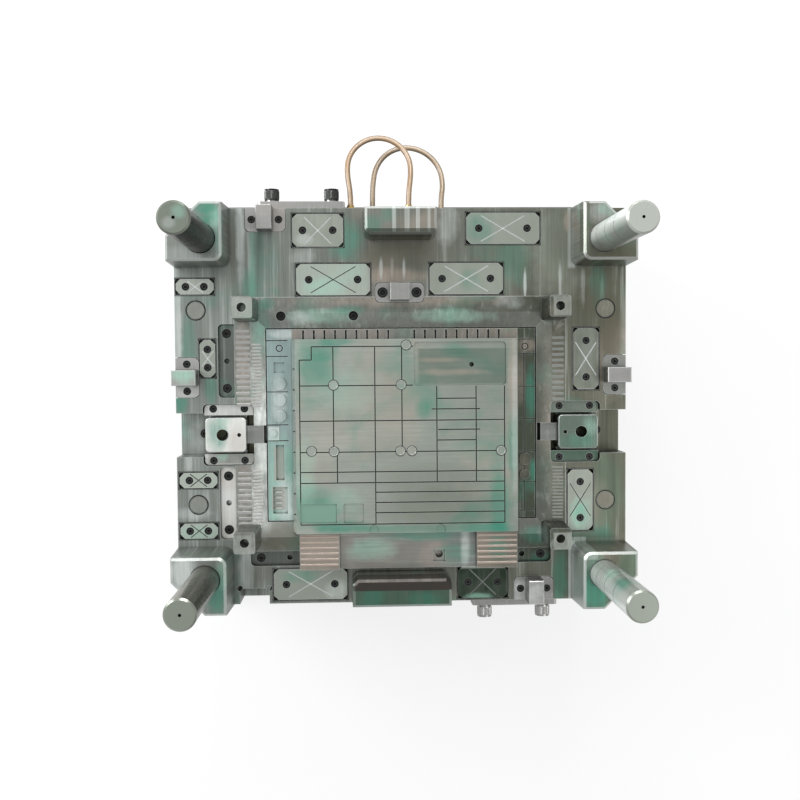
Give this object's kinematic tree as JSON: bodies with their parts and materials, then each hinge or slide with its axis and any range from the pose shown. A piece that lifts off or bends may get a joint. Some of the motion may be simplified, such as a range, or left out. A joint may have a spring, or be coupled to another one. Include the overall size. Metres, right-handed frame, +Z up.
{
  "type": "mould base",
  "caption": "Moving half of an injection mould: core plate with pillars, corner towers, slides and ejector box on a clamp plate.",
  "frame": {"origin": "centre of the ejector rod hole in the underside of the clamp plate", "axes": "+X along the plate's 800 mm side, +Y across it towards the wall with the hoses, +Z up through the parting face"},
  "size_m": [0.804, 0.893, 0.656],
  "materials": {
    "plate_steel": "ground and milled",
    "frame_steel": "milled",
    "insert_steel": "fine milled",
    "pad_steel": "ground",
    "lock_steel": "ground",
    "slide_steel": "ground",
    "pillar_steel": "hardened and ground",
    "black_screw": "black oxide",
    "bright_screw": "zinc plated",
    "spring_blue": "painted spring",
    "bronze": "bronze with graphite",
    "brass": "turned",
    "hose_tan": "semi-clear hose",
    "hose_amber": "semi-clear hose"
  },
  "bodies": {
    "mould_base": {"bottom_clamp_plate": "plate_steel", "centre_lock": "lock_steel", "centre_lock_screws": "black_screw", "centre_ramp_block": "insert_steel", "clamp_bolts": "black_screw", "core_frame": "frame_steel", "core_frame_screws": "black_screw", "core_insert": "insert_steel", "core_plate": "plate_steel", "edge_side_locks": "lock_steel", "ejector_guide_pins": "pillar_steel", "front_spacer_block": "plate_steel", "front_strap_bolts": "bright_screw", "front_transport_strap": "lock_steel", "guide_pillar_1": "pillar_steel", "guide_pillar_2": "pillar_steel", "guide_pillar_3": "pillar_steel", "guide_pillar_4": "pillar_steel", "hose_nipples": "brass", "left_ramp_block": "insert_steel", "left_side_insert": "insert_steel", "lower_cooling_hose": "hose_amber", "lower_wedge_strip": "lock_steel", "port_blade_row": "insert_steel", "rear_spacer_block": "plate_steel", "rear_strap_bolts": "black_screw", "rear_transport_strap": "lock_steel", "retaining_bar": "lock_steel", "return_springs": "spring_blue", "right_ramp_block": "insert_steel", "right_side_insert": "insert_steel", "side_lock_screws": "black_screw", "slide_gib_screws": "black_screw", "slide_gibs": "slide_steel", "slide_stop_bolts": "black_screw", "slide_wear_plates": "bronze", "stop_buttons": "pillar_steel", "strap_washers": "bright_screw", "strip_screws": "black_screw", "support_pillars": "pillar_steel", "support_screws": "black_screw", "upper_cooling_hose": "hose_tan", "upper_wedge_strip": "lock_steel", "wear_pad_screws": "black_screw", "wear_pads_long": "pad_steel", "wear_pads_short": "pad_steel", "wear_pads_side": "pad_steel", "wear_pads_small": "pad_steel"},
    "ejector_set": {"ejector_retainer_plate": "plate_steel", "ejector_base_plate": "plate_steel", "return_pins": "pillar_steel", "ejector_pins": "pillar_steel", "ejector_guide_bushes": "bronze", "ejector_plate_screws": "black_screw"},
    "left_slide_set": {"left_slide": "slide_steel", "left_slide_tongue": "slide_steel"},
    "right_slide_set": {"right_slide": "slide_steel", "right_slide_tongue": "slide_steel"}
  },
  "joints": [
    {"name": "ejector_stroke", "type": "slide", "parent": "mould_base", "child": "ejector_set", "axis": [0, 0, 1], "range_m": [0, 0.06], "stiffness_N_per_m": 120000, "springref_m": -0.02, "deforming": ["return_springs"]},
    {"name": "left_slide_travel", "type": "slide", "parent": "mould_base", "child": "left_slide_set", "axis": [1, 0, 0], "range_m": [0, 0.0055]},
    {"name": "right_slide_travel", "type": "slide", "parent": "mould_base", "child": "right_slide_set", "axis": [-1, 0, 0], "range_m": [0, 0.0055]}
  ]
}
